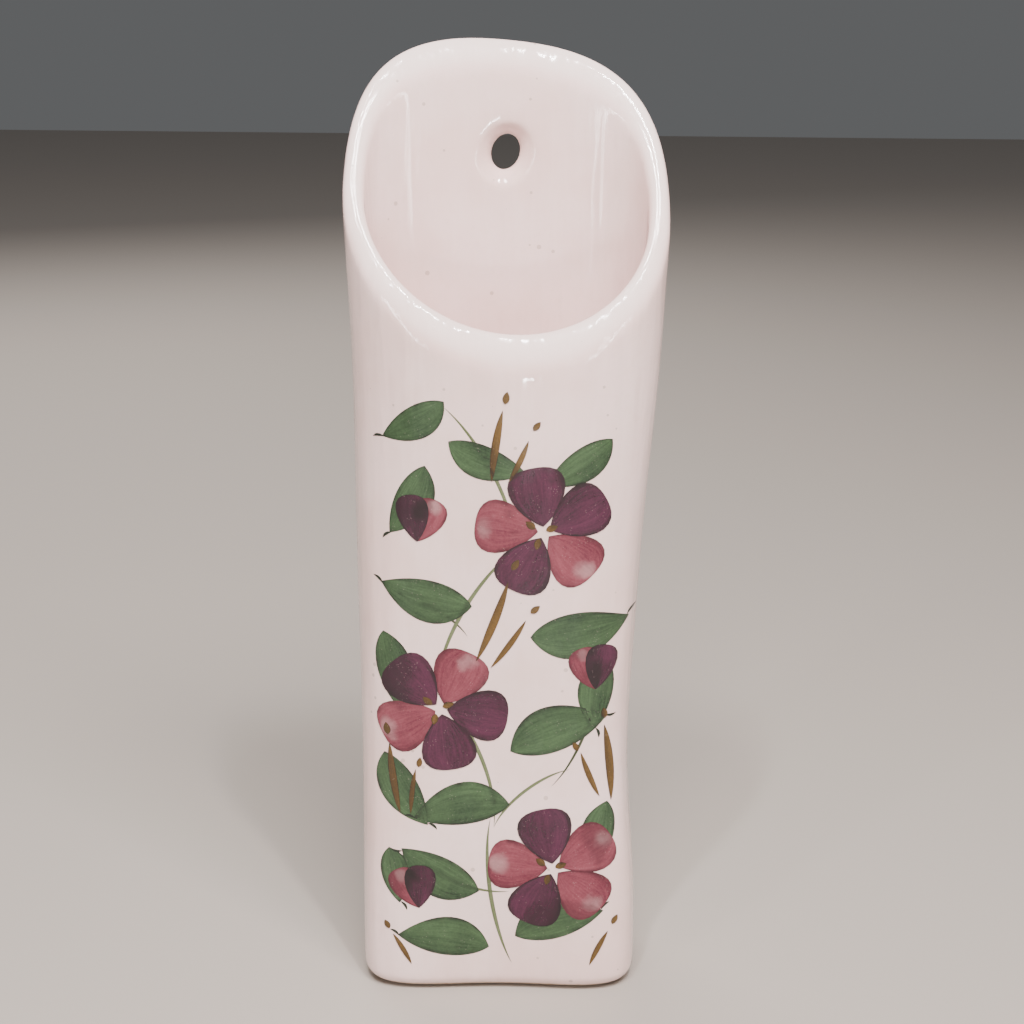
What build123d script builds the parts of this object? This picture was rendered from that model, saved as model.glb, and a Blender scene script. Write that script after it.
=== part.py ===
from build123d import *

import os
from math import cos, radians, sin, sqrt, tan

# Hanging wall vase: a one-piece slip-cast pot with a slanted mouth, glazed, and painted on its front.
# Millimetres. +Z is up, the painted front faces -Y, and the flat back that meets the wall faces +Y.
# The origin is on the ground under the middle of the pot.
# Left and right are those of someone who faces the painted front.

# Driving dimensions of the pot. The lip is the low front of the mouth, the crest its high back.
total_height = 252.0
lip_height = 184.5
waist_height = 64.0
mouth_width = 82.8
waist_width = 72.4
foot_width = 75.6
mouth_depth = 49.0
waist_depth = 41.2
foot_depth = 42.2
wall_thickness = 5.5
floor_thickness = 6.5
foot_round = 5.0
cavity_round = 4.5

# How far the back is pressed flat, and how much the hand-finished pot is out of true
back_flattening = 0.5
waist_lean = 2.0
mouth_roll = 4.8
crest_shift = -15.0

# The glaze, and the ring above the foot that is wiped clean of it
glaze_thickness = 0.4
wiped_height = 1.5

# The oval hanging hole, which leans to the right
hole_width = 7.4
hole_height = 9.6
hole_level = 223.0
hole_shift = -0.6
hole_tilt = -17.0
hole_inside_round = 2.4
hole_back_round = 0.8

# The painted area, and the sizes of its brush strokes
painted_half_width = 35.0
painted_height = 170.0
stem_length = 40.0
stem_width = 1.2
leaf_length = 25.0
leaf_width = 12.0
petal_length = 16.0
petal_width = 12.0
blossom_eye = 1.6
bud_length = 12.5
bud_width = 7.0
blade_length = 20.0
blade_width = 2.2
dab_length = 3.2
dab_width = 1.8

# How far cutting shapes run past what they cut
overrun = 6.0

# Rings of the pot's form, from the foot up. Each is a closed curve of four quarters. The first three
# shares blend its height, width and depth, and the fourth tilts it from level (0) to the mouth (1).
# The fifth is its share of the sideways lean. The last two are the squareness of its front and back
# quarters, where 0.55 draws an ellipse and 0.95 an almost square corner.
foot_to_waist_shares = [
    (0.00, 0.00, 0.00, 0.00, 0.25, 0.96, 0.90),
    (0.45, 0.20, 0.20, 0.00, 0.40, 0.95, 0.90),
    (1.00, 1.00, 1.00, 0.00, 1.00, 0.88, 0.86),
]
waist_to_mouth_shares = [
    (0.29, 0.22, 0.20, 0.10, 0.85, 0.78, 0.82),
    (0.53, 0.42, 0.45, 0.36, 0.50, 0.68, 0.78),
    (0.75, 0.68, 0.76, 0.66, 0.00, 0.60, 0.75),
    (1.00, 1.00, 1.00, 1.00, 0.04, 0.55, 0.72),
]
widest_line_share = 0.5

# The rounded rim stands a little higher than half its width. It and the rounded bottom edge are drawn
# by rings at these turns.
rim_rise_share = 1.3
rim_turns = (0, 20, 40, 60, 80)
bottom_turns = (90, 68, 45, 22, 0)

# Brush strokes. A curve is drawn by two handles on each side of the stroke, each as shares of its
# length and width. A stroke in a table has its place across and up the painted area, the way that it
# points in degrees, its length and width, and how far it bows, as a share of its own length.
leaf_curve_shares = ((0.18, 0.66), (0.62, 0.74))
petal_curve_shares = ((0.30, 0.62), (1.02, 0.98))
line_curve_shares = ((0.25, 0.62), (0.75, 0.62))

stem_shares = [
    (0.09, 0.05, 98, 1.10, 1.00, 0.09),
    (-0.06, 0.29, 112, 1.05, 0.92, -0.14),
    (-0.49, 0.52, 62, 1.15, 0.92, 0.13),
    (0.09, 0.75, 116, 1.05, 0.83, -0.12),
    (-0.06, 0.29, 40, 0.65, 0.75, 0.15),
    (-0.26, 0.61, 150, 0.55, 0.67, -0.14),
    (0.06, 0.18, 158, 0.65, 0.75, 0.15),
    (0.37, 0.36, 70, 0.85, 0.67, -0.12),
]
leaf_shares = [
    (-0.43, 0.98, 214, 0.76, 0.67, 0.08),
    (-0.40, 0.92, 338, 0.84, 0.71, -0.10),
    (-0.57, 0.88, 244, 0.84, 0.75, 0.10),
    (0.77, 0.92, 214, 0.80, 0.71, 0.08),
    (-0.23, 0.66, 168, 0.96, 0.92, 0.08),
    (0.20, 0.61, 8, 1.04, 1.00, -0.08),
    (-0.89, 0.61, 282, 0.88, 0.75, 0.05),
    (0.77, 0.57, 262, 0.80, 0.75, -0.10),
    (0.06, 0.42, 20, 1.08, 1.04, 0.11),
    (-0.89, 0.41, 300, 0.92, 0.83, -0.09),
    (0.06, 0.33, 190, 1.04, 0.96, -0.12),
    (-0.17, 0.18, 150, 0.96, 0.92, 0.10),
    (0.80, 0.33, 262, 0.76, 0.71, -0.08),
    (0.11, 0.10, 18, 1.00, 0.96, 0.12),
    (-0.09, 0.08, 172, 1.00, 0.92, -0.10),
    (-0.86, 0.25, 280, 0.64, 0.67, 0.06),
]
# Open blossoms of five round petals: place, the way the first petal points, and each petal's colour
blossom_shares = [
    (0.29, 0.78, 100, ("plum", "rose", "plum", "rose", "plum")),
    (-0.46, 0.49, 64, ("rose", "plum", "rose", "plum", "plum")),
    (0.40, 0.22, 30, ("rose", "plum", "rose", "plum", "rose")),
]
# Buds of one plum and one rose petal: place, and the ways that the two point
bud_shares = [
    (-0.63, 0.76, 98, 66),
    (0.69, 0.52, 80, 110),
    (-0.63, 0.15, 88, 118),
]
blade_shares = [
    (-0.20, 0.57, 70, 1.20, 1.05, -0.03),
    (-0.09, 0.56, 56, 0.80, 0.77, -0.03),
    (-0.77, 0.31, 98, 1.00, 1.00, 0.03),
    (-0.69, 0.31, 84, 0.65, 0.68, 0.03),
    (-0.09, 0.86, 82, 0.95, 1.00, 0.03),
    (0.03, 0.86, 66, 0.60, 0.73, -0.03),
    (0.83, 0.33, 96, 1.10, 1.05, -0.03),
    (0.74, 0.34, 112, 0.70, 0.73, 0.03),
    (0.69, 0.05, 64, 0.55, 0.73, 0.03),
    (-0.69, 0.05, 120, 0.50, 0.68, -0.03),
]
dab_shares = [
    (0.06, 0.72, 60, 1.06, 1.00, 0.00),
    (0.20, 0.65, 40, 0.94, 0.89, 0.00),
    (-0.86, 0.44, 100, 1.06, 1.00, 0.00),
    (-0.63, 0.39, 80, 0.88, 0.83, 0.00),
    (0.00, 0.98, 80, 1.00, 0.94, 0.00),
    (0.20, 0.94, 50, 0.88, 0.83, 0.00),
    (0.77, 0.47, 100, 0.94, 0.89, 0.00),
    (0.57, 0.42, 120, 0.88, 0.83, 0.00),
    (0.86, 0.12, 60, 0.88, 0.83, 0.00),
    (-0.86, 0.11, 120, 0.81, 0.83, 0.00),
]
blossom_dab_turns = (20, 140, 260)


def blend(low, high, share):
    return low + (high - low) * share


# The centres of the rim lie in one slanted plane, so high that lip and crest come out as they should
back_y = mouth_depth / 2
rim_radius = wall_thickness / 2
mouth_slope = (total_height - lip_height) / (mouth_depth - wall_thickness)
roll_slope = -tan(radians(mouth_roll))
crest_rise = rim_radius * (sqrt(mouth_slope**2 + rim_rise_share**2) - mouth_slope)
mouth_height = (
    total_height - crest_rise - mouth_slope * mouth_depth * widest_line_share - roll_slope * crest_shift
)


# The plane of a ring that is drawn in by inset and moved up by lift, and its quarters as handles
def ring_outline(ring, inset, lift):
    height, width, depth, tilt, lean, front_square, back_square = ring
    middle = Vector(-waist_lean * lean, back_y - depth * widest_line_share, height + lift)
    across = Vector(1, 0, roll_slope * tilt)
    upward = Vector(0, 1, mouth_slope * tilt)
    plane = Plane(origin=middle, x_dir=across, z_dir=across.cross(upward))
    side = width / 2 - inset
    back = depth * widest_line_share + back_flattening - inset
    front = depth * (1 - widest_line_share) - inset
    quarters = []
    for reach_x, reach_y, square in (
        (side, back, back_square),
        (-side, back, back_square),
        (-side, -front, front_square),
        (side, -front, front_square),
    ):
        handles = [
            (reach_x, 0),
            (reach_x, reach_y * square),
            (reach_x * square, reach_y),
            (0, reach_y),
        ]
        quarters.append([plane.to_local_coords(middle + across * x + upward * y) for x, y in handles])
    return plane, quarters


# A solid with the pot's form, drawn in by inset, on a rounded bottom at the level floor. Its top turns
# with the rim: inwards for the outside of the pot (rim_way 1) and outwards for its cavity (rim_way -1).
def pot_form(inset, floor, floor_round, rim_round, rim_way):
    lower_rings = [
        (
            blend(floor + floor_round, waist_height, up),
            blend(foot_width, waist_width, across),
            blend(foot_depth, waist_depth, deep),
            *rest,
        )
        for up, across, deep, *rest in foot_to_waist_shares
    ]
    upper_rings = [
        (
            blend(waist_height, mouth_height, up),
            blend(waist_width, mouth_width, across),
            blend(waist_depth, mouth_depth, deep),
            *rest,
        )
        for up, across, deep, *rest in waist_to_mouth_shares
    ]
    body_outlines = [ring_outline(ring, inset, 0) for ring in lower_rings + upper_rings]
    bottom_outlines = []
    for turn in bottom_turns:
        drawn_in = inset + floor_round * (1 - cos(radians(turn)))
        bottom_outlines.append(ring_outline(lower_rings[0], drawn_in, -floor_round * sin(radians(turn))))
    rim_outlines = []
    for turn in rim_turns:
        drawn_in = inset + rim_way * rim_round * (1 - cos(radians(turn)))
        rise = rim_round * rim_rise_share * sin(radians(turn))
        rim_outlines.append(ring_outline(upper_rings[-1], drawn_in, rise))
    with BuildPart() as form:
        for outlines in (bottom_outlines, body_outlines, rim_outlines):
            for plane, quarters in outlines:
                with BuildSketch(plane):
                    with BuildLine():
                        for handles in quarters:
                            Bezier(*handles)
                    make_face()
            loft()
        if rim_way < 0:
            extrude(form.faces().filter_by(GeomType.PLANE).sort_by(Axis.Z)[-1], amount=overrun)
    return form.part


def outside_form(skin):
    return pot_form(skin, 0, foot_round - skin, rim_radius - skin, 1)


# The pot with its cavity, flat back and hanging hole, under a skin of the thickness skin: without one
# it is the glazed pot, and under a skin as thick as the glaze it is the clay. The foot has no skin.
def vessel(skin):
    cavity = pot_form(
        wall_thickness - skin,
        floor_thickness - skin,
        cavity_round + skin,
        rim_radius - skin,
        -1,
    )
    hole_plane = Plane(
        origin=(hole_shift, back_y + overrun, hole_level),
        x_dir=(1, 0, 0),
        z_dir=(0, -1, 0),
    )
    with BuildPart() as pot:
        add(outside_form(skin))
        add(cavity, mode=Mode.SUBTRACT)
        split(bisect_by=Plane.XZ.offset(skin - back_y), keep=Keep.TOP)
        with BuildSketch(hole_plane):
            Ellipse(hole_width / 2 + skin, hole_height / 2 + skin, rotation=hole_tilt)
        extrude(amount=wall_thickness + overrun * 2, mode=Mode.SUBTRACT)
        hole_edges = pot.edges(Select.LAST).sort_by(Axis.Y)
        fillet(hole_edges[0], radius=hole_inside_round - skin)
        flat_back = pot.faces().filter_by(Axis.Y).sort_by(Axis.Y)[-1]
        fillet(flat_back.inner_wires()[0].edges(), radius=hole_back_round - skin)
    return pot.part


# The flat outlines of brush strokes, as they are seen from the front
def brush_outlines(strokes):
    with BuildSketch() as outlines:
        for x, z, pointing, length, width, bow, curve in strokes:
            way = Vector(cos(radians(pointing)), sin(radians(pointing)))
            aside = Vector(-way.Y, way.X)
            start = Vector(x, z)
            (near_along, near_across), (far_along, far_across) = curve
            with BuildLine():
                for side in (-width, width):
                    Bezier(
                        start,
                        start + way * (length * near_along) + aside * (side * near_across + bow),
                        start + way * (length * far_along) + aside * (side * far_across + bow),
                        start + way * length,
                    )
            make_face()
    return outlines.sketch


def place_strokes(shares, length, width, curve):
    return [
        (
            painted_half_width * across,
            painted_height * up,
            pointing,
            length * long,
            width * wide,
            length * long * bow,
            curve,
        )
        for across, up, pointing, long, wide, bow in shares
    ]


petals = {"plum": [], "rose": []}
dabs = place_strokes(dab_shares, dab_length, dab_width, leaf_curve_shares)
for across, up, first_way, colours in blossom_shares:
    for place, colour in enumerate(colours):
        pointing = first_way + place * 360 / len(colours)
        x = painted_half_width * across + blossom_eye * cos(radians(pointing))
        z = painted_height * up + blossom_eye * sin(radians(pointing))
        petals[colour].append((x, z, pointing, petal_length, petal_width, 0, petal_curve_shares))
    for pointing in blossom_dab_turns:
        x = painted_half_width * across + blossom_eye * cos(radians(pointing)) - dab_length / 3
        z = painted_height * up + blossom_eye * sin(radians(pointing))
        dabs.append((x, z, pointing, dab_length, dab_width, 0, leaf_curve_shares))
for across, up, plum_way, rose_way in bud_shares:
    for colour, pointing in (("plum", plum_way), ("rose", rose_way)):
        x = painted_half_width * across
        z = painted_height * up
        petals[colour].append((x, z, pointing, bud_length, bud_width, 0, petal_curve_shares))

# The colours in the order of painting. Each later one covers what lies under it.
stems = place_strokes(stem_shares, stem_length, stem_width, line_curve_shares)
leaves = place_strokes(leaf_shares, leaf_length, leaf_width, leaf_curve_shares)
blades = place_strokes(blade_shares, blade_length, blade_width, line_curve_shares)
painting = [
    ("painted_stems", stems),
    ("painted_leaves", leaves),
    ("painted_rose_petals", petals["rose"]),
    ("painted_plum_petals", petals["plum"]),
    ("painted_ochre_strokes", blades + dabs),
]

os.makedirs("parts", exist_ok=True)

with BuildPart() as fired_clay_body:
    add(vessel(glaze_thickness))
fired_clay_body.part.label = "fired_clay_body"
export_step(fired_clay_body.part, "parts/fired_clay_body.step")

outer_glaze = outside_form(0)
outer_clay = outside_form(glaze_thickness)
covered = []
for name, strokes in reversed(painting):
    outlines = brush_outlines(strokes)
    with BuildPart() as colour:
        with BuildSketch(Plane.XZ):
            add(outlines)
            for later_outlines in covered:
                add(later_outlines, mode=Mode.SUBTRACT)
        extrude(amount=mouth_depth)
        add(outer_glaze, mode=Mode.INTERSECT)
        add(outer_clay, mode=Mode.SUBTRACT)
    covered.append(outlines)
    colour.part.label = name
    export_step(colour.part, f"parts/{name}.step")

# The colours lie in windows of the glaze, flush with it
with BuildPart() as windows:
    with BuildSketch(Plane.XZ):
        for outlines in covered:
            add(outlines)
    extrude(amount=mouth_depth)
    add(outside_form(wall_thickness / 3), mode=Mode.SUBTRACT)

with BuildPart() as glaze_coat:
    add(vessel(0))
    add(fired_clay_body.part, mode=Mode.SUBTRACT)
    split(bisect_by=Plane.XY.offset(wiped_height), keep=Keep.TOP)
    add(windows.part, mode=Mode.SUBTRACT)
glaze_coat.part.label = "glaze_coat"
export_step(glaze_coat.part, "parts/glaze_coat.step")
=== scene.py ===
from math import asin, atan2, ceil, cos, degrees, pi, radians, sin, sqrt, tan

import bmesh
import bpy
from mathutils import Matrix, Vector, noise
from mathutils.bvhtree import BVHTree


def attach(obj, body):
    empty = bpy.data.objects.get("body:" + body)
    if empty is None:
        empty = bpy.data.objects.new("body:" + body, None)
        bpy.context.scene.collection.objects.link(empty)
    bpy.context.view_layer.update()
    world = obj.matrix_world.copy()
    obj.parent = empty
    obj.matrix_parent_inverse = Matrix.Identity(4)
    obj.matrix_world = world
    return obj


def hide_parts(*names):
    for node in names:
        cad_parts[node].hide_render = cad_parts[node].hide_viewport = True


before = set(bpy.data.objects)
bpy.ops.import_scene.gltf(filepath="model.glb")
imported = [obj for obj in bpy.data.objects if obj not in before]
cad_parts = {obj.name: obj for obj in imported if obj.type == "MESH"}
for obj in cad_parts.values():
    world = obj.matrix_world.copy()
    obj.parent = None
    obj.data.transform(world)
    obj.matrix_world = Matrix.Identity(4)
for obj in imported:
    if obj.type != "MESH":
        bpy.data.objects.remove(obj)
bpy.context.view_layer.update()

# Glaze coat
# The pot is one slip-cast wall with a slanted mouth, dipped in a glossy pinkish white glaze. The glaze is
# a thin glass skin fused over the outside, the rim, the inside and the hanging hole, and wiped off the
# foot. It is a little uneven, as a hand-finished pot is.
TOTAL_HEIGHT = 0.2520
LIP_HEIGHT = 0.1845
WAIST_HEIGHT = 0.0640
MOUTH_WIDTH = 0.0828
WAIST_WIDTH = 0.0724
FOOT_WIDTH = 0.0756
MOUTH_DEPTH = 0.0490
WAIST_DEPTH = 0.0412
FOOT_DEPTH = 0.0422
WALL = 0.0055
FLOOR_THICKNESS = 0.0065
FOOT_ROUND = 0.0050
CAVITY_ROUND = 0.0045
BACK_FLATTENING = 0.0005
WAIST_LEAN = 0.0020
MOUTH_ROLL = radians(4.8)
CREST_SHIFT = -0.0150
RIM_RISE = 1.3
GLAZE_THICKNESS = 0.0004
WIPED_HEIGHT = 0.0015

# Key rings from foot to waist and from waist to mouth: height, width and depth as shares, then tilt,
# sideways lean, and the squareness of the front and back quarters. The last number of each row is into
# how many steps the way to the next ring is cut.
FOOT_TO_WAIST = (
    ((0.00, 0.00, 0.00, 0.00, 0.25, 0.96, 0.90), 2),
    ((0.45, 0.20, 0.20, 0.00, 0.40, 0.95, 0.90), 2),
    ((1.00, 1.00, 1.00, 0.00, 1.00, 0.88, 0.86), 3),
)
WAIST_TO_MOUTH = (
    ((0.29, 0.22, 0.20, 0.10, 0.85, 0.78, 0.82), 3),
    ((0.53, 0.42, 0.45, 0.36, 0.50, 0.68, 0.78), 3),
    ((0.75, 0.68, 0.76, 0.66, 0.00, 0.60, 0.75), 6),
    ((1.00, 1.00, 1.00, 1.00, 0.04, 0.55, 0.72), 0),
)
QUARTER_STEPS = 12
FOOT_TURNS = (20, 0)
CAVITY_TURNS = (30, 60, 90)
RIM_TURNS = (25, 50, 72, 90)
FLOOR_SPREADS = (0.6, 0.3)
POT_SMOOTHING = 2
UNEVENNESS = 0.0003
UNEVEN_SCALE = 24.0
HOLLOW_DEPTH = 0.0020
HOLLOW_HEIGHT = 0.0550
HOLLOW_HALF_WIDTH = 0.0300

RIM_RADIUS = WALL / 2
BACK_Y = MOUTH_DEPTH / 2
MOUTH_SLOPE = (TOTAL_HEIGHT - LIP_HEIGHT) / (MOUTH_DEPTH - WALL)
ROLL_SLOPE = -tan(MOUTH_ROLL)
CREST_RISE = RIM_RADIUS * (sqrt(MOUTH_SLOPE**2 + RIM_RISE**2) - MOUTH_SLOPE)
MOUTH_HEIGHT = TOTAL_HEIGHT - CREST_RISE - MOUTH_SLOPE * MOUTH_DEPTH / 2 - ROLL_SLOPE * CREST_SHIFT


def blend(low, high, share):
    return low + (high - low) * share


def body_rings(bottom):
    """Rings from the level bottom to the mouth, on smooth curves through the key rings."""
    keys = [
        ((blend(bottom, WAIST_HEIGHT, ring[0]), blend(FOOT_WIDTH, WAIST_WIDTH, ring[1]),
          blend(FOOT_DEPTH, WAIST_DEPTH, ring[2]), *ring[3:]), steps)
        for ring, steps in FOOT_TO_WAIST
    ] + [
        ((blend(WAIST_HEIGHT, MOUTH_HEIGHT, ring[0]), blend(WAIST_WIDTH, MOUTH_WIDTH, ring[1]),
          blend(WAIST_DEPTH, MOUTH_DEPTH, ring[2]), *ring[3:]), steps)
        for ring, steps in WAIST_TO_MOUTH
    ]
    rings = []
    for place, (ring, steps) in enumerate(keys):
        before = keys[max(place - 1, 0)][0]
        after = keys[min(place + 1, len(keys) - 1)][0]
        last = keys[min(place + 2, len(keys) - 1)][0]
        for step in range(steps):
            t = step / steps
            gap = after[0] - ring[0]
            numbers = []
            for number in range(len(ring)):
                start_way = (after[number] - before[number]) / (after[0] - before[0]) * gap
                end_way = (last[number] - ring[number]) / (last[0] - ring[0]) * gap
                numbers.append(
                    (2 * t**3 - 3 * t**2 + 1) * ring[number] + (t**3 - 2 * t**2 + t) * start_way
                    + (3 * t**2 - 2 * t**3) * after[number] + (t**3 - t**2) * end_way
                )
            rings.append(tuple(numbers))
    return rings + [keys[-1][0]]


def ring_points(ring, inset, lift=0.0, spread=1.0, back=None):
    """The points of one ring, drawn in by inset, moved up by lift, spread from its middle, and cut flat
    at back."""
    height, width, depth, tilt, lean, front_square, back_square = ring
    middle = Vector((-WAIST_LEAN * lean, BACK_Y - depth / 2, height + lift))
    side = (width / 2 - inset) * spread
    back_reach = (depth / 2 + BACK_FLATTENING - inset) * spread
    front_reach = (depth / 2 - inset) * spread
    points = []
    for place in range(QUARTER_STEPS * 4):
        quarter, step = divmod(place, QUARTER_STEPS)
        t = step / QUARTER_STEPS
        if quarter in (1, 3):
            t = 1 - t
        square = back_square if quarter < 2 else front_square
        reach_x = side if quarter in (0, 3) else -side
        reach_y = back_reach if quarter < 2 else -front_reach
        x = reach_x * ((1 - t)**3 + 3 * (1 - t)**2 * t + 3 * square * (1 - t) * t**2)
        y = reach_y * (3 * square * (1 - t)**2 * t + 3 * (1 - t) * t**2 + t**3)
        if back is not None:
            y = min(y, back - middle.y)
        points.append(middle + Vector((x, y, x * ROLL_SLOPE * tilt + y * MOUTH_SLOPE * tilt)))
    return points


def hand_finished(point):
    """The point as it lies on a pot that is slightly uneven, with a slightly hollow lower front."""
    swell = 0.5 + 0.5 * noise.noise(point * UNEVEN_SCALE)
    reach = Vector((point.x, point.y, 0))
    uneven = point - reach.normalized() * UNEVENNESS * swell
    if point.y < 0 and point.z < HOLLOW_HEIGHT and abs(point.x) < HOLLOW_HALF_WIDTH:
        fall = cos(pi / 2 * point.z / HOLLOW_HEIGHT)**2 * cos(pi / 2 * point.x / HOLLOW_HALF_WIDTH)**2
        uneven.y += HOLLOW_DEPTH * fall
    return uneven


def pot_rings(skin, bottom_turns):
    """The rings of the pot under a skin of that thickness: up its outside, over its rim and down its
    inside to the floor, each with its share of the rim."""
    back = BACK_Y - skin
    foot_round = FOOT_ROUND - skin
    outside = body_rings(foot_round)
    rings = []
    for turn in bottom_turns:
        drawn_in = skin + foot_round * (1 - cos(radians(turn)))
        lift = -foot_round * sin(radians(turn))
        rings.append((ring_points(outside[0], drawn_in, lift, back=back), 0.0))
    rings += [(ring_points(ring, skin, back=back), 0.0) for ring in outside[1:]]
    rim_radius = RIM_RADIUS - skin
    for turn in RIM_TURNS:
        drawn_in = skin + rim_radius * (1 - cos(radians(turn)))
        lift = rim_radius * RIM_RISE * sin(radians(turn))
        rings.append((ring_points(outside[-1], drawn_in, lift, back=back), sin(radians(turn))))
    for turn in reversed(RIM_TURNS[:-1]):
        drawn_in = WALL - skin - rim_radius * (1 - cos(radians(turn)))
        lift = rim_radius * RIM_RISE * sin(radians(turn))
        rings.append((ring_points(outside[-1], drawn_in, lift), sin(radians(turn))))
    cavity_round = CAVITY_ROUND + skin
    inside = body_rings(FLOOR_THICKNESS - skin + cavity_round)
    rings += [(ring_points(ring, WALL - skin), 0.0) for ring in reversed(inside)]
    for turn in CAVITY_TURNS:
        drawn_in = WALL - skin + cavity_round * (1 - cos(radians(turn)))
        rings.append((ring_points(inside[0], drawn_in, -cavity_round * sin(radians(turn))), 0.0))
    for spread in FLOOR_SPREADS:
        rings.append((ring_points(inside[0], WALL - skin + cavity_round, -cavity_round, spread), 0.0))
    return rings


# The oval hanging hole leans to the right. Its steps are how far they stand off its edge, and how deep
# they lie, first from the back of the wall and then from its inside.
HOLE_WIDTH = 0.0074
HOLE_HEIGHT = 0.0096
HOLE_LEVEL = 0.2230
HOLE_SHIFT = -0.0006
HOLE_TILT = radians(-17)
HOLE_LOOP_POINTS = 8
HOLE_START_STAND_OFF = 0.0040
HOLE_BACK_STEPS = ((0.0028, 0.0), (0.0013, 0.0), (0.0005, 0.0002), (0.0003, 0.0010))
HOLE_INSIDE_STEPS = ((0.0050, 0.0), (0.0036, 0.0005), (0.0018, 0.0017), (0.0005, 0.0032))


def extrude_loop(mesh, loop, points):
    """A new loop of vertices at the points, joined to the loop by faces."""
    edges = [
        edge for vert in loop for edge in vert.link_edges
        if (edge.is_boundary or edge.is_wire) and edge.other_vert(vert) in loop
    ]
    made = bmesh.ops.extrude_edge_only(mesh, edges=list(dict.fromkeys(edges)))["geom"]
    new_verts = {part for part in made if isinstance(part, bmesh.types.BMVert)}
    new_loop = []
    for vert, point in zip(loop, points):
        new_vert = next(
            edge.other_vert(vert) for edge in vert.link_edges if edge.other_vert(vert) in new_verts
        )
        new_vert.co = point
        new_loop.append(new_vert)
    return new_loop


def hole_point(place, stand_off, y):
    angle = 2 * pi * place / HOLE_LOOP_POINTS
    across = (HOLE_WIDTH / 2 + stand_off) * cos(angle)
    up = (HOLE_HEIGHT / 2 + stand_off) * sin(angle)
    return Vector((
        HOLE_SHIFT + across * cos(HOLE_TILT) - up * sin(HOLE_TILT), y,
        HOLE_LEVEL + across * sin(HOLE_TILT) + up * cos(HOLE_TILT),
    ))


def open_wall(mesh, wall_y, steps, inward, skin):
    """Opens the wall near wall_y around the hole, and gives the innermost loop of the opening."""
    centre = Vector((HOLE_SHIFT, wall_y, HOLE_LEVEL))
    nearest = min(mesh.verts, key=lambda vert: (vert.co - centre).length)
    rim = list({vert for face in nearest.link_faces for vert in face.verts} - {nearest})
    rim.sort(key=lambda vert: atan2(vert.co.z - nearest.co.z, vert.co.x - nearest.co.x))
    bmesh.ops.delete(mesh, geom=[nearest], context="VERTS")
    start = hole_point(0, HOLE_START_STAND_OFF, wall_y)
    first = min(range(len(rim)), key=lambda place: (rim[place].co - start).length)
    rim = rim[first:] + rim[:first]
    for place, vert in enumerate(rim):
        point = hole_point(place, steps[0][0] + skin, wall_y)
        vert.co = Vector((point.x, vert.co.y, point.z))
    loop = rim
    for stand_off, deep in steps[1:]:
        loop = extrude_loop(mesh, loop, [
            hole_point(place, stand_off + skin, wall_y + inward * deep) for place in range(len(loop))
        ])
    return loop


def build_pot(skin, bottom_turns):
    """The surface of the pot under a skin, from its bottom edge to the middle of its floor, and the loop
    of its bottom edge."""
    mesh = bmesh.new()
    rim_layer = mesh.verts.layers.float.new("rim_share")
    rings = pot_rings(skin, bottom_turns)
    circle = bmesh.ops.create_circle(mesh, segments=QUARTER_STEPS * 4, radius=MOUTH_WIDTH / 2)
    loop = circle["verts"]
    first_loop = loop
    for vert, point in zip(loop, rings[0][0]):
        vert.co = hand_finished(point)
    for points, rim_share in rings[1:]:
        loop = extrude_loop(mesh, loop, [hand_finished(point) for point in points])
        for vert in loop:
            vert[rim_layer] = rim_share
    bmesh.ops.contextual_create(mesh, geom=loop)
    back_loop = open_wall(mesh, BACK_Y - skin, HOLE_BACK_STEPS, -1, skin)
    inside_y = BACK_Y + BACK_FLATTENING - WALL + skin
    inside_loop = open_wall(mesh, inside_y, HOLE_INSIDE_STEPS, 1, skin)
    edges = [
        edge for loop in (back_loop, inside_loop) for vert in loop for edge in vert.link_edges
        if edge.is_boundary and edge.other_vert(vert) in loop
    ]
    bmesh.ops.bridge_loops(mesh, edges=list(dict.fromkeys(edges)))
    bmesh.ops.recalc_face_normals(mesh, faces=mesh.faces)
    mesh.faces.ensure_lookup_table()
    outermost = max(mesh.faces, key=lambda face: face.calc_center_median().x)
    if outermost.normal.x < 0:
        bmesh.ops.reverse_faces(mesh, faces=mesh.faces)
    for face in mesh.faces:
        face.smooth = True
    return mesh, first_loop


def make_object(name, mesh):
    data = bpy.data.meshes.new(name)
    mesh.to_mesh(data)
    mesh.free()
    made = bpy.data.objects.new(name, data)
    bpy.context.scene.collection.objects.link(made)
    return made


def add_subdivision(piece, levels):
    subdivision = piece.modifiers.new("smooth_form", "SUBSURF")
    subdivision.levels = levels
    subdivision.render_levels = levels


def add_node(tree, kind, inputs, **settings):
    """A shader node with its settings, and its inputs as numbers or as sockets that it is linked to."""
    node = tree.nodes.new(kind)
    for setting, value in settings.items():
        setattr(node, setting, value)
    for socket, value in inputs.items():
        if isinstance(value, bpy.types.NodeSocket):
            tree.links.new(value, node.inputs[socket])
        else:
            node.inputs[socket].default_value = value
    return node


def start_material(name):
    material = bpy.data.materials.new(name)
    material.use_nodes = True
    tree = material.node_tree
    place = add_node(tree, "ShaderNodeTexCoord", {}).outputs["Object"]
    return material, tree, tree.nodes["Principled BSDF"], place


def math_node(tree, operation, first, second=0.0, third=0.0, clamp=False):
    inputs = {0: first, 1: second, 2: third}
    return add_node(tree, "ShaderNodeMath", inputs, operation=operation, use_clamp=clamp).outputs[0]


def mix_colour(tree, share, first, second, blend_type="MIX"):
    inputs = {0: share, 6: first, 7: second}
    return add_node(
        tree, "ShaderNodeMix", inputs, data_type="RGBA", blend_type=blend_type, clamp_factor=True
    ).outputs[2]


def noise_value(tree, place, scale, detail=2.0, rough=0.5):
    inputs = {"Vector": place, "Scale": scale, "Detail": detail, "Roughness": rough}
    return add_node(tree, "ShaderNodeTexNoise", inputs).outputs["Fac"]


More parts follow.
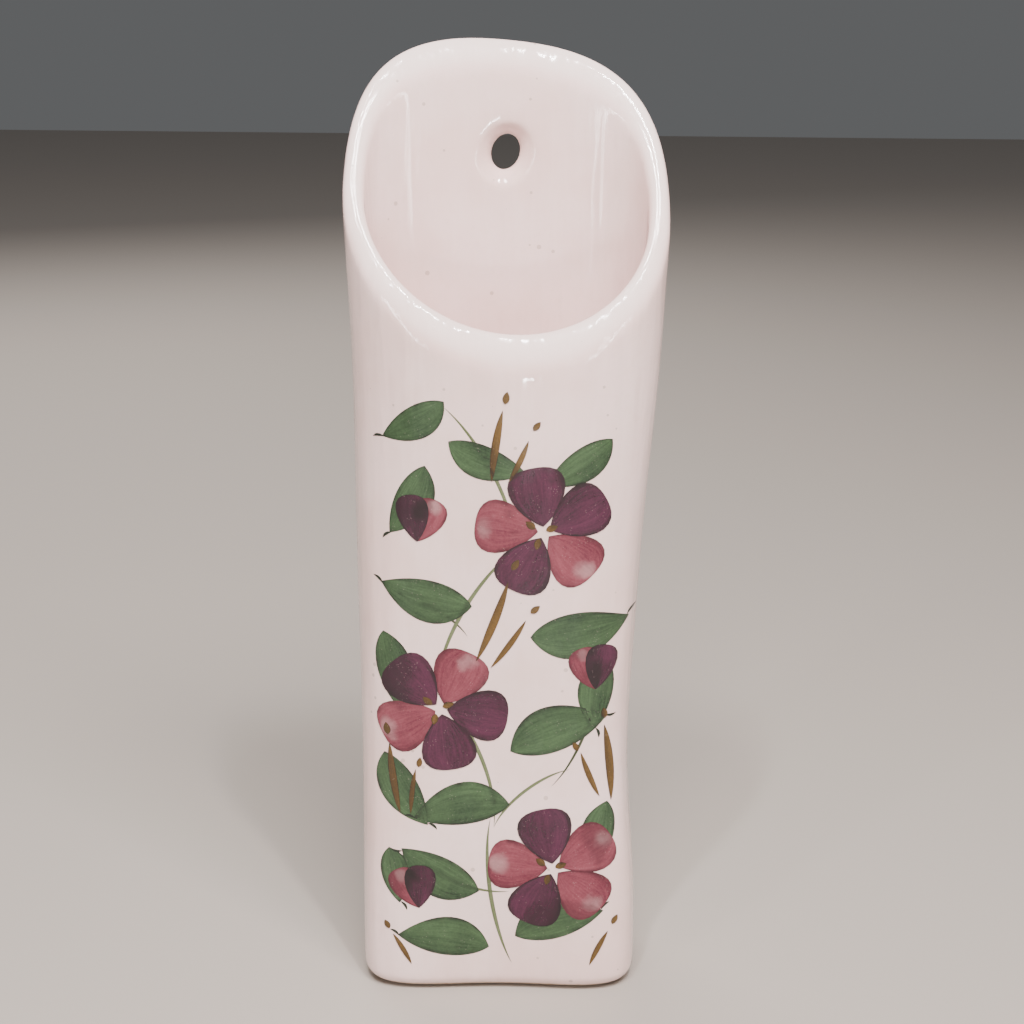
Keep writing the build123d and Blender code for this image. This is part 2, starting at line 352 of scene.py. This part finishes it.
def ramp(tree, value, low, high, start=0.0, end=1.0):
    inputs = {"Value": value, "From Min": low, "From Max": high, "To Min": start, "To Max": end}
    return add_node(tree, "ShaderNodeMapRange", inputs, interpolation_type="SMOOTHSTEP").outputs["Result"]


wiped_turn = degrees(asin((FOOT_ROUND - WIPED_HEIGHT) / FOOT_ROUND))
glaze_mesh, _ = build_pot(0.0, (wiped_turn, *FOOT_TURNS))
glaze = make_object("glaze_skin", glaze_mesh)
thickness = glaze.modifiers.new("glaze_thickness", "SOLIDIFY")
thickness.thickness = GLAZE_THICKNESS
thickness.offset = -1
add_subdivision(glaze, POT_SMOOTHING)

GLAZE_PALE = (0.910, 0.675, 0.640, 1)
GLAZE_DEEP = (0.840, 0.590, 0.545, 1)
# The lighter, less pink rim colour: partly thinner glaze, partly a painted highlight on the rim.
GLAZE_THIN_AND_LIT = (0.945, 0.775, 0.730, 1)
GLAZE_SPECK = (0.330, 0.230, 0.180, 1)
GLAZE_FOOT_EDGE = (0.640, 0.460, 0.360, 1)
GLAZE_IOR = 1.52
GLAZE_RUNS = (1.0, 1.0, 0.16)
WAVE_SCALE = 75
WAVE_DEPTH = 0.0016
WAVE_STRENGTH = 0.80
DIMPLE_SCALE = 900
DIMPLE_DEPTH = 0.0002
DIMPLE_STRENGTH = 0.10
CLOUD_SCALE = 26
MOTTLE_SCALE = 420
SPECK_SCALE = 210
SPECK_STRENGTH = 0.45
FOOT_EDGE_HEIGHTS = (0.0026, 0.0042)
FOOT_EDGE_RAGGEDNESS = 0.003


def glaze_waves(tree, place):
    """The long, shallow runs of the molten glaze, as a bumped normal. The colours have them too."""
    runs = add_node(tree, "ShaderNodeVectorMath", {0: place, 1: GLAZE_RUNS}, operation="MULTIPLY")
    return add_node(tree, "ShaderNodeBump", {
        "Strength": WAVE_STRENGTH, "Distance": WAVE_DEPTH,
        "Height": noise_value(tree, runs.outputs["Vector"], WAVE_SCALE, 3),
    }).outputs["Normal"]


material, tree, shader, place = start_material("white_glaze")
clouds = ramp(tree, noise_value(tree, place, CLOUD_SCALE, 4, 0.6), 0.35, 0.68)
colour = mix_colour(tree, clouds, GLAZE_PALE, GLAZE_DEEP)
mottle = ramp(tree, noise_value(tree, place, MOTTLE_SCALE, 3, 0.6), 0.45, 0.75, 0.0, 0.30)
colour = mix_colour(tree, mottle, colour, GLAZE_DEEP)
# Over the rim the colour is painted lighter and less pink. This is partly the glaze running thinner there and
# partly a painted highlight on the rim, which faces the lights above.
rim_share = add_node(tree, "ShaderNodeAttribute", {}, attribute_name="rim_share").outputs["Fac"]
colour = mix_colour(tree, ramp(tree, rim_share, 0.35, 1.0, 0.0, 0.75), colour, GLAZE_THIN_AND_LIT)
cells = add_node(tree, "ShaderNodeTexVoronoi", {"Vector": place, "Scale": SPECK_SCALE})
speck_size = ramp(tree, noise_value(tree, place, 60, 0), 0.5, 0.75, 0.02, 0.14)
specks = math_node(tree, "LESS_THAN", cells.outputs["Distance"], speck_size)
colour = mix_colour(tree, math_node(tree, "MULTIPLY", specks, SPECK_STRENGTH), colour, GLAZE_SPECK)
height = add_node(tree, "ShaderNodeSeparateXYZ", {"Vector": place}).outputs["Z"]
ragged = math_node(tree, "MULTIPLY_ADD", noise_value(tree, place, 240, 3), FOOT_EDGE_RAGGEDNESS, height)
foot_edge = ramp(tree, ragged, *FOOT_EDGE_HEIGHTS, 0.75, 0.0)
colour = mix_colour(tree, foot_edge, colour, GLAZE_FOOT_EDGE)
tree.links.new(colour, shader.inputs["Base Color"])
rough = ramp(tree, noise_value(tree, place, 130, 3), 0.3, 0.7, 0.10, 0.17)
tree.links.new(rough, shader.inputs["Roughness"])
dimples = add_node(tree, "ShaderNodeBump", {
    "Strength": DIMPLE_STRENGTH, "Distance": DIMPLE_DEPTH,
    "Height": noise_value(tree, place, DIMPLE_SCALE, 2), "Normal": glaze_waves(tree, place),
})
tree.links.new(dimples.outputs["Normal"], shader.inputs["Normal"])
shader.inputs["Coat Weight"].default_value = 0.45
shader.inputs["Coat Roughness"].default_value = 0.04
shader.inputs["IOR"].default_value = GLAZE_IOR
glaze.data.materials.append(material)
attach(glaze, "root")
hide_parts("glaze_coat")

# Fired clay body
# The cast pot of fired buff clay under the glaze. It shows as the bare, slightly rough ring and underside
# of the foot, where the glaze was wiped off so that the pot didn't stick to the kiln shelf.
CLAY_TURNS = (90, 68, 45, 22, 0)
CLAY_BOTTOM_SPREADS = (0.7, 0.35)
CLAY_UNDER_GLAZE = GLAZE_THICKNESS * 0.9
clay_mesh, clay_loop = build_pot(CLAY_UNDER_GLAZE, CLAY_TURNS)
clay_ring = body_rings(FOOT_ROUND - GLAZE_THICKNESS)[0]
for spread in CLAY_BOTTOM_SPREADS:
    clay_points = ring_points(clay_ring, FOOT_ROUND, GLAZE_THICKNESS - FOOT_ROUND, spread)
    clay_loop = extrude_loop(clay_mesh, clay_loop, [hand_finished(point) for point in clay_points])
bmesh.ops.contextual_create(clay_mesh, geom=clay_loop)
bmesh.ops.recalc_face_normals(clay_mesh, faces=clay_mesh.faces)
for face in clay_mesh.faces:
    face.smooth = True
clay = make_object("clay_body", clay_mesh)
add_subdivision(clay, POT_SMOOTHING)

CLAY_PALE = (0.560, 0.430, 0.320, 1)
CLAY_DARK = (0.400, 0.280, 0.190, 1)
CLAY_GRAIN_SCALE = 700
CLAY_STAIN_SCALE = 45
material, tree, shader, place = start_material("fired_clay")
grain = ramp(tree, noise_value(tree, place, CLAY_GRAIN_SCALE, 5, 0.65), 0.35, 0.7)
stains = ramp(tree, noise_value(tree, place, CLAY_STAIN_SCALE, 3), 0.4, 0.7, 0.0, 0.6)
colour = mix_colour(tree, math_node(tree, "MAXIMUM", grain, stains), CLAY_PALE, CLAY_DARK)
tree.links.new(colour, shader.inputs["Base Color"])
rough = ramp(tree, grain, 0.0, 1.0, 0.75, 0.92)
tree.links.new(rough, shader.inputs["Roughness"])
grit = add_node(tree, "ShaderNodeBump", {"Strength": 0.5, "Distance": 0.0003, "Height": grain})
tree.links.new(grit.outputs["Normal"], shader.inputs["Normal"])
clay.data.materials.append(material)
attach(clay, "root")
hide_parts("fired_clay_body")

# Painted stems
# Thin grey-green lines, drawn with the tip of a brush and melted into the glaze. Every brush stroke lies
# on the glazed front as it is seen from the front, and fades and pools as wet colour does.
PAINTED_HALF_WIDTH = 0.0350
PAINTED_HEIGHT = 0.1700
LINE_CURVE = ((0.25, 0.62), (0.75, 0.62))
LEAF_CURVE = ((0.18, 0.66), (0.62, 0.74))
PETAL_CURVE = ((0.30, 0.62), (1.02, 0.98))
STROKE_GRAIN = 0.0010
STROKE_DEPTH = 0.0003
STROKE_PROUD = 0.00002
STROKE_LAYER = 0.000008
HOOK_LENGTH = 0.0030
HOOK_WIDTH = 0.0008
HOOK_TURN = 25
HOOK_BOW = 0.2
HOOK_START = 0.985
DARK_LINE_WIDTH = HOOK_WIDTH * 1.01
DARK_LINE_OVERLAP = 2.0
OUTLINE_STEPS = 12
STREAK_SHIFT = 0.37
LONGEST_EDGE = STROKE_GRAIN * 1.4
MOST_SPLITS = 3
SAME_POINT = STROKE_GRAIN / 100
SLIDE_IN = 0.995
STROKE_ATTRIBUTES = ("along", "across", "stroke", "overlap")

bpy.context.view_layer.update()
glaze_surface = BVHTree.FromObject(glaze, bpy.context.evaluated_depsgraph_get())


def place_strokes(shares, length, width, curve):
    """Each share row is a place across and up the front, a way in degrees, a length, a width and a bow."""
    return [
        (PAINTED_HALF_WIDTH * across, PAINTED_HEIGHT * up, pointing, length * long, width * wide,
         length * long * bow, curve)
        for across, up, pointing, long, wide, bow in shares
    ]


def edge_point(stroke, side, t):
    x, z, pointing, length, width, bow, curve = stroke
    way = Vector((cos(radians(pointing)), sin(radians(pointing))))
    aside = Vector((-way.y, way.x))
    handles = [(0, 0)] + [(along * length, side * width * across + bow) for along, across in curve]
    handles.append((length, 0))
    shares = ((1 - t)**3, 3 * (1 - t)**2 * t, 3 * (1 - t) * t**2, t**3)
    along = sum(share * handle[0] for share, handle in zip(shares, handles))
    across = sum(share * handle[1] for share, handle in zip(shares, handles))
    return Vector((x, z)) + way * along + aside * across


def covers(stroke, point):
    """Whether the stroke covers a point of the front, by the sides of its outline that the point meets."""
    outline = [edge_point(stroke, 1, step / OUTLINE_STEPS) for step in range(OUTLINE_STEPS + 1)]
    outline += [edge_point(stroke, -1, step / OUTLINE_STEPS) for step in range(OUTLINE_STEPS - 1, 0, -1)]
    inside = False
    for first, second in zip(outline, outline[1:] + outline[:1]):
        if (first.y > point.y) != (second.y > point.y):
            crossing = first.x + (point.y - first.y) / (second.y - first.y) * (second.x - first.x)
            inside = inside != (point.x < crossing)
    return inside


def tip_hooks(strokes, length, width):
    """The short dark hook that the brush leaves where it is lifted at the tip of each stroke."""
    hooks = []
    for number, stroke in enumerate(strokes):
        tip = edge_point(stroke, 1, HOOK_START)
        side = 1 if number % 2 else -1
        pointing = stroke[2] + HOOK_TURN * side
        hooks.append((tip.x, tip.y, pointing, length, width, length * HOOK_BOW * side, LINE_CURVE))
    return hooks


def paint_strokes(name, strokes, layer, under):
    """One closed, very thin sheet of colour for each stroke, on the glaze and on what lies under it. It
    is darker where it covers other strokes, and dark all over where it is as narrow as a hook."""
    mesh = bmesh.new()
    layers = {attribute: mesh.verts.layers.float.new(attribute) for attribute in STROKE_ATTRIBUTES}
    for number, stroke in enumerate(strokes):
        length, width = stroke[3:5]
        is_dark_line = width < DARK_LINE_WIDTH
        proud = STROKE_PROUD + STROKE_LAYER * (layer * 2 + number % 3)
        before = set(mesh.verts)
        made = bmesh.ops.create_grid(
            mesh, x_segments=max(8, ceil(length / STROKE_GRAIN)),
            y_segments=max(2, ceil(width / STROKE_GRAIN)), size=0.5,
        )["verts"]
        nearby = [
            other for other in under + strokes[:number]
            if (Vector(other[:2]) - Vector(stroke[:2])).length < other[3] + length
        ]
        for vert in made:
            along = 0.5 - 0.5 * cos(pi * (vert.co.x + 0.5))
            across = vert.co.y + 0.5
            flat = edge_point(stroke, -1, along).lerp(edge_point(stroke, 1, along), across)
            vert[layers["along"]] = along
            vert[layers["across"]] = across if 0 < along < 1 else 0.5
            vert[layers["stroke"]] = number * STREAK_SHIFT + layer
            vert[layers["overlap"]] = (
                DARK_LINE_OVERLAP if is_dark_line else sum(covers(other, flat) for other in nearby)
            )
            hit = None
            while hit is None:
                hit, normal, _, _ = glaze_surface.ray_cast(Vector((flat.x, -1, flat.y)), Vector((0, 1, 0)))
                flat.x *= SLIDE_IN
            vert.co = hit + normal * proud
        bmesh.ops.remove_doubles(mesh, verts=made, dist=SAME_POINT)
        for _ in range(MOST_SPLITS):
            long_edges = [
                edge for edge in mesh.edges
                if edge.verts[0] not in before and edge.calc_length() > LONGEST_EDGE
            ]
            if not long_edges:
                break
            known = set(mesh.verts)
            bmesh.ops.subdivide_edges(mesh, edges=long_edges, cuts=1, use_grid_fill=True)
            for vert in [vert for vert in mesh.verts if vert not in known]:
                near, normal, _, _ = glaze_surface.find_nearest(vert.co)
                vert.co = near + normal * proud
    for face in mesh.faces:
        face.smooth = True
    mesh.normal_update()
    turned = [
        face for face in mesh.faces
        if face.normal.dot(glaze_surface.find_nearest(face.calc_center_median())[1]) < 0
    ]
    bmesh.ops.reverse_faces(mesh, faces=turned)
    for edge in mesh.edges:
        edge.smooth = not edge.is_boundary
    piece = make_object(name, mesh)
    depth = piece.modifiers.new("stroke_depth", "SOLIDIFY")
    depth.thickness = STROKE_DEPTH
    depth.offset = -1
    return piece


STREAKS_ALONG = 1.3
STREAKS_ACROSS = 9.0
STREAKS_APART = 11.0
STREAK_SHARE = 0.38
WASH_SHARE = 0.22
GRAIN_SHARE = 0.20
HEAVY_SIDE_SHARE = 0.26
OVERLAP_SHARE = 0.45
PINHOLE_SHARE = 0.08


def paint_material(name, thin, full, pooled, light_spot=0.0):
    """Translucent colour: thin in the streaks of the brush, pooled and dark along the edges and ends."""
    material, tree, shader, place = start_material(name)
    values = {
        attribute: add_node(tree, "ShaderNodeAttribute", {}, attribute_name=attribute).outputs["Fac"]
        for attribute in STROKE_ATTRIBUTES
    }
    streak_place = add_node(tree, "ShaderNodeCombineXYZ", {
        "X": math_node(tree, "MULTIPLY", values["along"], STREAKS_ALONG),
        "Y": math_node(tree, "MULTIPLY", values["across"], STREAKS_ACROSS),
        "Z": math_node(tree, "MULTIPLY", values["stroke"], STREAKS_APART),
    }).outputs["Vector"]
    streaks = ramp(tree, noise_value(tree, streak_place, 1.8, 5, 0.72), 0.34, 0.66)
    wash = ramp(tree, noise_value(tree, place, 130, 3), 0.34, 0.66)
    grain = ramp(tree, noise_value(tree, place, 1700, 3, 0.7), 0.36, 0.64)
    heavy_side = ramp(tree, values["across"], 0.15, 0.95)
    body = math_node(tree, "MULTIPLY", wash, WASH_SHARE)
    body = math_node(tree, "MULTIPLY_ADD", streaks, STREAK_SHARE, body)
    body = math_node(tree, "MULTIPLY_ADD", grain, GRAIN_SHARE, body)
    body = math_node(tree, "MULTIPLY_ADD", heavy_side, HEAVY_SIDE_SHARE, body)
    colour = mix_colour(tree, body, thin, full)
    off_middle = math_node(tree, "ABSOLUTE", math_node(tree, "MULTIPLY_ADD", values["across"], 2.0, -1.0))
    if light_spot:
        along_off = math_node(tree, "MULTIPLY_ADD", values["along"], 4.6, -3.4)
        spot_way = math_node(
            tree, "ADD", math_node(tree, "POWER", along_off, 2.0),
            math_node(tree, "POWER", math_node(tree, "MULTIPLY", off_middle, 1.7), 2.0),
        )
        broken = math_node(tree, "MULTIPLY_ADD", wash, 0.9, spot_way)
        spot = ramp(tree, broken, 0.0, 1.5, light_spot, 0.0)
        colour = mix_colour(tree, spot, colour, GLAZE_PALE)
    edge = ramp(tree, off_middle, 0.72, 1.0)
    start_pool = ramp(tree, values["along"], 0.0, 0.10, 1.0, 0.0)
    end_pool = ramp(tree, values["along"], 0.90, 1.0)
    pool = math_node(tree, "MAXIMUM", edge, math_node(tree, "MAXIMUM", start_pool, end_pool))
    patchy = ramp(tree, noise_value(tree, place, 320, 2), 0.30, 0.70, 0.25, 0.95)
    colour = mix_colour(tree, math_node(tree, "MULTIPLY", pool, patchy), colour, pooled)
    overlap = math_node(tree, "MULTIPLY", values["overlap"], OVERLAP_SHARE, clamp=True)
    colour = mix_colour(tree, overlap, colour, pooled)
    bubbles = add_node(tree, "ShaderNodeTexVoronoi", {"Vector": place, "Scale": 1500})
    clear = math_node(tree, "LESS_THAN", bubbles.outputs["Distance"], 0.20)
    chosen = math_node(tree, "GREATER_THAN", noise_value(tree, place, 420, 2), 0.57)
    pinholes = math_node(tree, "MULTIPLY", math_node(tree, "MULTIPLY", clear, chosen), PINHOLE_SHARE)
    colour = mix_colour(tree, pinholes, colour, GLAZE_PALE)
    tree.links.new(colour, shader.inputs["Base Color"])
    tree.links.new(ramp(tree, wash, 0.0, 1.0, 0.16, 0.26), shader.inputs["Roughness"])
    tree.links.new(glaze_waves(tree, place), shader.inputs["Normal"])
    shader.inputs["Coat Weight"].default_value = 0.15
    shader.inputs["Coat Roughness"].default_value = 0.06
    shader.inputs["IOR"].default_value = GLAZE_IOR
    return material


STEM_LENGTH = 0.0400
STEM_WIDTH = 0.0012
STEM_SHARES = (
    (0.09, 0.05, 98, 1.10, 1.00, 0.09),
    (-0.06, 0.29, 112, 1.05, 0.92, -0.14),
    (-0.49, 0.52, 62, 1.15, 0.92, 0.13),
    (0.09, 0.75, 116, 1.05, 0.83, -0.12),
    (-0.06, 0.29, 40, 0.65, 0.75, 0.15),
    (-0.26, 0.61, 150, 0.55, 0.67, -0.14),
    (0.06, 0.18, 158, 0.65, 0.75, 0.15),
    (0.37, 0.36, 70, 0.85, 0.67, -0.12),
)
STEM_THIN = (0.160, 0.185, 0.090, 1)
STEM_FULL = (0.065, 0.085, 0.030, 1)
STEM_POOLED = (0.025, 0.035, 0.012, 1)
stem_strokes = place_strokes(STEM_SHARES, STEM_LENGTH, STEM_WIDTH, LINE_CURVE)
stems = paint_strokes("stem_strokes", stem_strokes, layer=1, under=[])
stems.data.materials.append(paint_material("stem_green", STEM_THIN, STEM_FULL, STEM_POOLED))
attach(stems, "root")
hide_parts("painted_stems")

# Painted leaves
# Green leaves, each one press and pull of a full round brush, which leaves streaks along the leaf and a
# dark pooled edge. They are melted into the glaze like the other colours.
LEAF_LENGTH = 0.0250
LEAF_WIDTH = 0.0120
LEAF_SHARES = (
    (-0.43, 0.98, 214, 0.76, 0.67, 0.08),
    (-0.40, 0.92, 338, 0.84, 0.71, -0.10),
    (-0.57, 0.88, 244, 0.84, 0.75, 0.10),
    (0.77, 0.92, 214, 0.80, 0.71, 0.08),
    (-0.23, 0.66, 168, 0.96, 0.92, 0.08),
    (0.20, 0.61, 8, 1.04, 1.00, -0.08),
    (-0.89, 0.61, 282, 0.88, 0.75, 0.05),
    (0.77, 0.57, 262, 0.80, 0.75, -0.10),
    (0.06, 0.42, 20, 1.08, 1.04, 0.11),
    (-0.89, 0.41, 300, 0.92, 0.83, -0.09),
    (0.06, 0.33, 190, 1.04, 0.96, -0.12),
    (-0.17, 0.18, 150, 0.96, 0.92, 0.10),
    (0.80, 0.33, 262, 0.76, 0.71, -0.08),
    (0.11, 0.10, 18, 1.00, 0.96, 0.12),
    (-0.09, 0.08, 172, 1.00, 0.92, -0.10),
    (-0.86, 0.25, 280, 0.64, 0.67, 0.06),
)
LEAF_THIN = (0.056, 0.108, 0.044, 1)
LEAF_FULL = (0.008, 0.026, 0.009, 1)
LEAF_POOLED = (0.003, 0.009, 0.004, 1)
leaf_strokes = place_strokes(LEAF_SHARES, LEAF_LENGTH, LEAF_WIDTH, LEAF_CURVE)
leaf_hooks = tip_hooks(leaf_strokes, HOOK_LENGTH, HOOK_WIDTH)
leaves = paint_strokes("leaf_strokes", leaf_strokes + leaf_hooks, layer=3, under=stem_strokes)
leaves.data.materials.append(paint_material("leaf_green", LEAF_THIN, LEAF_FULL, LEAF_POOLED))
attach(leaves, "root")
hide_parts("painted_leaves")

# Painted rose petals
# Rose red petals of the open blossoms and the buds: round dabs of a full brush, light near their round
# ends, where the colour was thin.
PETAL_LENGTH = 0.0160
PETAL_WIDTH = 0.0120
BLOSSOM_EYE = 0.0016
BUD_LENGTH = 0.0125
BUD_WIDTH = 0.0070
BLOSSOM_SHARES = (
    (0.29, 0.78, 100, ("plum", "rose", "plum", "rose", "plum")),
    (-0.46, 0.49, 64, ("rose", "plum", "rose", "plum", "plum")),
    (0.40, 0.22, 30, ("rose", "plum", "rose", "plum", "rose")),
)
BUD_SHARES = (
    (-0.63, 0.76, 98, 66),
    (0.69, 0.52, 80, 110),
    (-0.63, 0.15, 88, 118),
)
petal_strokes = {"plum": [], "rose": []}
for across, up, first_way, colours in BLOSSOM_SHARES:
    for number, colour_name in enumerate(colours):
        pointing = first_way + number * 360 / len(colours)
        petal_strokes[colour_name].append((
            PAINTED_HALF_WIDTH * across + BLOSSOM_EYE * cos(radians(pointing)),
            PAINTED_HEIGHT * up + BLOSSOM_EYE * sin(radians(pointing)),
            pointing, PETAL_LENGTH, PETAL_WIDTH, 0, PETAL_CURVE,
        ))
for across, up, plum_way, rose_way in BUD_SHARES:
    for colour_name, pointing in (("plum", plum_way), ("rose", rose_way)):
        petal_strokes[colour_name].append((
            PAINTED_HALF_WIDTH * across, PAINTED_HEIGHT * up, pointing, BUD_LENGTH, BUD_WIDTH, 0, PETAL_CURVE,
        ))
ROSE_THIN = (0.240, 0.055, 0.075, 1)
ROSE_FULL = (0.100, 0.009, 0.023, 1)
ROSE_POOLED = (0.045, 0.003, 0.010, 1)
ROSE_LIGHT_SPOT = 0.18
under_rose = stem_strokes + leaf_strokes
rose = paint_strokes("rose_strokes", petal_strokes["rose"], layer=5, under=under_rose)
rose.data.materials.append(paint_material("rose", ROSE_THIN, ROSE_FULL, ROSE_POOLED, ROSE_LIGHT_SPOT))
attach(rose, "root")
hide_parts("painted_rose_petals")

# Painted plum petals
# Dark purple petals between the rose red ones, painted after them and a little over them.
PLUM_THIN = (0.080, 0.012, 0.040, 1)
PLUM_FULL = (0.016, 0.002, 0.009, 1)
PLUM_POOLED = (0.005, 0.001, 0.003, 1)
under_plum = under_rose + petal_strokes["rose"]
plum = paint_strokes("plum_strokes", petal_strokes["plum"], layer=7, under=under_plum)
plum.data.materials.append(paint_material("plum", PLUM_THIN, PLUM_FULL, PLUM_POOLED))
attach(plum, "root")
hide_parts("painted_plum_petals")

# Painted ochre strokes
# Thin yellow-brown blades and small dabs, put on last with the tip of the brush.
BLADE_LENGTH = 0.0200
BLADE_WIDTH = 0.0022
DAB_LENGTH = 0.0032
DAB_WIDTH = 0.0018
BLADE_SHARES = (
    (-0.20, 0.57, 70, 1.20, 1.05, -0.03),
    (-0.09, 0.56, 56, 0.80, 0.77, -0.03),
    (-0.77, 0.31, 98, 1.00, 1.00, 0.03),
    (-0.69, 0.31, 84, 0.65, 0.68, 0.03),
    (-0.09, 0.86, 82, 0.95, 1.00, 0.03),
    (0.03, 0.86, 66, 0.60, 0.73, -0.03),
    (0.83, 0.33, 96, 1.10, 1.05, -0.03),
    (0.74, 0.34, 112, 0.70, 0.73, 0.03),
    (0.69, 0.05, 64, 0.55, 0.73, 0.03),
    (-0.69, 0.05, 120, 0.50, 0.68, -0.03),
)
DAB_SHARES = (
    (0.06, 0.72, 60, 1.06, 1.00, 0.00),
    (0.20, 0.65, 40, 0.94, 0.89, 0.00),
    (-0.86, 0.44, 100, 1.06, 1.00, 0.00),
    (-0.63, 0.39, 80, 0.88, 0.83, 0.00),
    (0.00, 0.98, 80, 1.00, 0.94, 0.00),
    (0.20, 0.94, 50, 0.88, 0.83, 0.00),
    (0.77, 0.47, 100, 0.94, 0.89, 0.00),
    (0.57, 0.42, 120, 0.88, 0.83, 0.00),
    (0.86, 0.12, 60, 0.88, 0.83, 0.00),
    (-0.86, 0.11, 120, 0.81, 0.83, 0.00),
)
BLOSSOM_DAB_TURNS = (20, 140, 260)
blade_strokes = place_strokes(BLADE_SHARES, BLADE_LENGTH, BLADE_WIDTH, LINE_CURVE)
dab_strokes = place_strokes(DAB_SHARES, DAB_LENGTH, DAB_WIDTH, LEAF_CURVE)
for across, up, _, _ in BLOSSOM_SHARES:
    for pointing in BLOSSOM_DAB_TURNS:
        dab_strokes.append((
            PAINTED_HALF_WIDTH * across + BLOSSOM_EYE * cos(radians(pointing)) - DAB_LENGTH / 3,
            PAINTED_HEIGHT * up + BLOSSOM_EYE * sin(radians(pointing)),
            pointing, DAB_LENGTH, DAB_WIDTH, 0, LEAF_CURVE,
        ))
OCHRE_THIN = (0.150, 0.078, 0.015, 1)
OCHRE_FULL = (0.042, 0.021, 0.003, 1)
OCHRE_POOLED = (0.010, 0.005, 0.001, 1)
under_ochre = under_plum + petal_strokes["plum"]
ochre = paint_strokes("ochre_strokes", blade_strokes + dab_strokes, layer=9, under=under_ochre)
ochre.data.materials.append(paint_material("ochre", OCHRE_THIN, OCHRE_FULL, OCHRE_POOLED))
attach(ochre, "root")
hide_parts("painted_ochre_strokes")

# Floor
# A plain, flat, pale floor, only for the picture.
FLOOR_HALF_SIZE = 2.5
FLOOR_COLOUR = (0.42, 0.37, 0.33, 1)
FLOOR_ROUGHNESS = 0.6
floor_mesh = bmesh.new()
bmesh.ops.create_grid(floor_mesh, x_segments=1, y_segments=1, size=FLOOR_HALF_SIZE)
floor = make_object("floor", floor_mesh)
material, tree, shader, place = start_material("floor")
shader.inputs["Base Color"].default_value = FLOOR_COLOUR
shader.inputs["Roughness"].default_value = FLOOR_ROUGHNESS
floor.data.materials.append(material)

# Light
# Soft studio light: a large panel high in front and a weak one behind, which the glaze doesn't mirror.
# Narrow lamps at both sides, above and below draw the bright streaks inside the mouth, on the rim and
# under the lip.
LIGHTS = (
    ("front_panel", (0.14, -0.54, 0.88), (0.0, 0.0, 0.20), (0.60, 0.30), 17.5, (1.0, 0.950, 0.93)),
    ("back_panel", (-0.40, 0.90, 0.80), (0.0, 0.0, 0.15), (0.90, 0.70), 11.0, (1.0, 0.980, 0.96)),
    ("left_lamp", (-0.52, -0.66, 0.30), (0.0, 0.0, 0.18), (0.05, 0.44), 1.8, (1.0, 0.98, 0.96)),
    ("right_lamp", (0.54, -0.60, 0.28), (0.0, 0.0, 0.18), (0.04, 0.40), 1.2, (1.0, 0.98, 0.96)),
    ("left_rim_lamp", (-0.13, -0.43, 0.94), (0.0, 0.0, 0.20), (0.025, 0.13), 4.0, (1.0, 1.0, 1.0)),
    ("right_rim_lamp", (0.15, -0.41, 0.94), (0.0, 0.0, 0.20), (0.025, 0.13), 4.0, (1.0, 1.0, 1.0)),
    ("lip_lamp", (0.10, -0.56, 0.03), (0.0, 0.0, 0.17), (0.05, 0.03), 0.6, (1.0, 1.0, 1.0)),
)
UNREFLECTED_LIGHTS = ("front_panel", "back_panel")
ROOM_COLOUR = (0.84, 0.86, 0.88, 1)
ROOM_STRENGTH = 0.14
for name, position, target, size, power, tint in LIGHTS:
    light_data = bpy.data.lights.new(name, "AREA")
    light_data.shape = "RECTANGLE"
    light_data.size, light_data.size_y = size
    light_data.energy = power
    light_data.color = tint
    light = bpy.data.objects.new(name, light_data)
    light.location = position
    light.rotation_euler = (Vector(target) - Vector(position)).to_track_quat("-Z", "Y").to_euler()
    light.visible_glossy = name not in UNREFLECTED_LIGHTS
    bpy.context.scene.collection.objects.link(light)
world = bpy.data.worlds.new("studio")
world.use_nodes = True
world.node_tree.nodes["Background"].inputs["Color"].default_value = ROOM_COLOUR
world.node_tree.nodes["Background"].inputs["Strength"].default_value = ROOM_STRENGTH
bpy.context.scene.world = world

# Camera
# It stands in front, a little above the mouth, and looks down at the pot with a slight roll.
CAMERA_PLACE = (0.00197, -0.4776, 0.2733)
CAMERA_DOWN = radians(16.478)
CAMERA_ROLL = radians(0.55)
CAMERA_SENSOR = 36.0
CAMERA_FOCAL_PIXELS = 1900
CAMERA_PICTURE_PIXELS = 1024
CAMERA_NEAREST = 0.01
camera_data = bpy.data.cameras.new("camera")
camera_data.sensor_width = CAMERA_SENSOR
camera_data.lens = CAMERA_SENSOR * CAMERA_FOCAL_PIXELS / CAMERA_PICTURE_PIXELS
camera_data.clip_start = CAMERA_NEAREST
camera = bpy.data.objects.new("camera", camera_data)
forward = Vector((0, cos(CAMERA_DOWN), -sin(CAMERA_DOWN)))
right = Vector((1, 0, 0))
up = right.cross(forward)
camera_x = right * cos(CAMERA_ROLL) + up * sin(CAMERA_ROLL)
camera_y = up * cos(CAMERA_ROLL) - right * sin(CAMERA_ROLL)
turn = Matrix((camera_x, camera_y, -forward)).transposed()
camera.matrix_world = Matrix.Translation(CAMERA_PLACE) @ turn.to_4x4()
bpy.context.scene.collection.objects.link(camera)
bpy.context.scene.camera = camera
